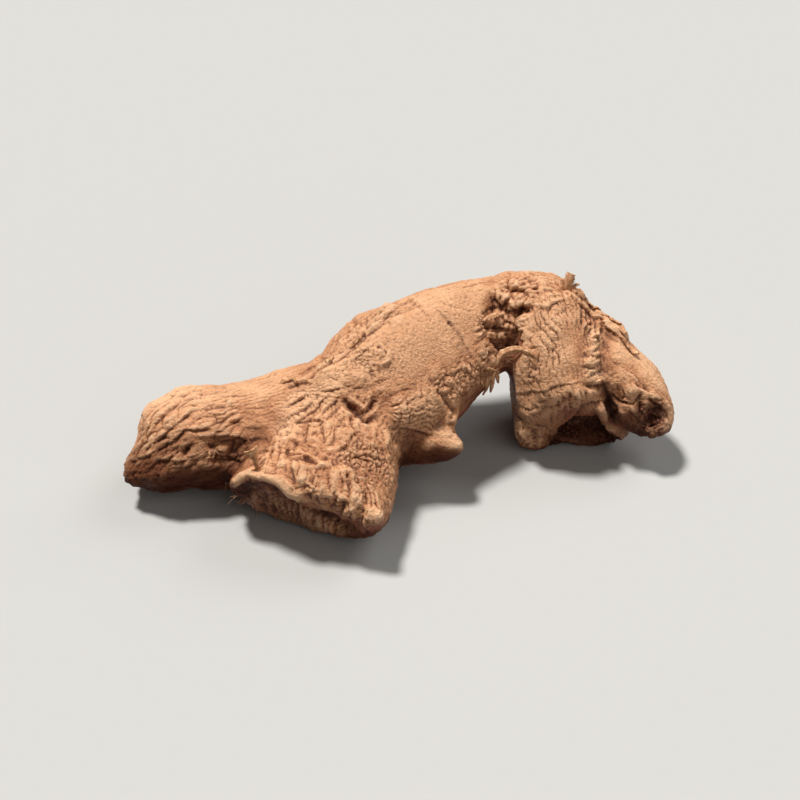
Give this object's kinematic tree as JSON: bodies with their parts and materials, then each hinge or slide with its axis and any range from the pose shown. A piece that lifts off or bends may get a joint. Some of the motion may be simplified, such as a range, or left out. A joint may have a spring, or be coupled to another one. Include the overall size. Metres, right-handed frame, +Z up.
{
  "type": "ginger root",
  "caption": "Dried, wrinkled ginger rhizome: a long finger, a thick arched stem, two broken stubs, a bud and a short finger.",
  "frame": {"origin": "middle of the bounding box, on the surface that the rhizome rests on", "axes": "+X along its longest side, from the tip of the long finger towards the short finger; +Z up as it rests; the broken stubs face -Y"},
  "size_m": [0.1174, 0.0616, 0.0351],
  "materials": {
    "dry_skin": "matt",
    "papery_scale": "matt",
    "root_fibre": "matt"
  },
  "bodies": {
    "root": {"ginger_rhizome": "dry_skin"}
  },
  "joints": []
}
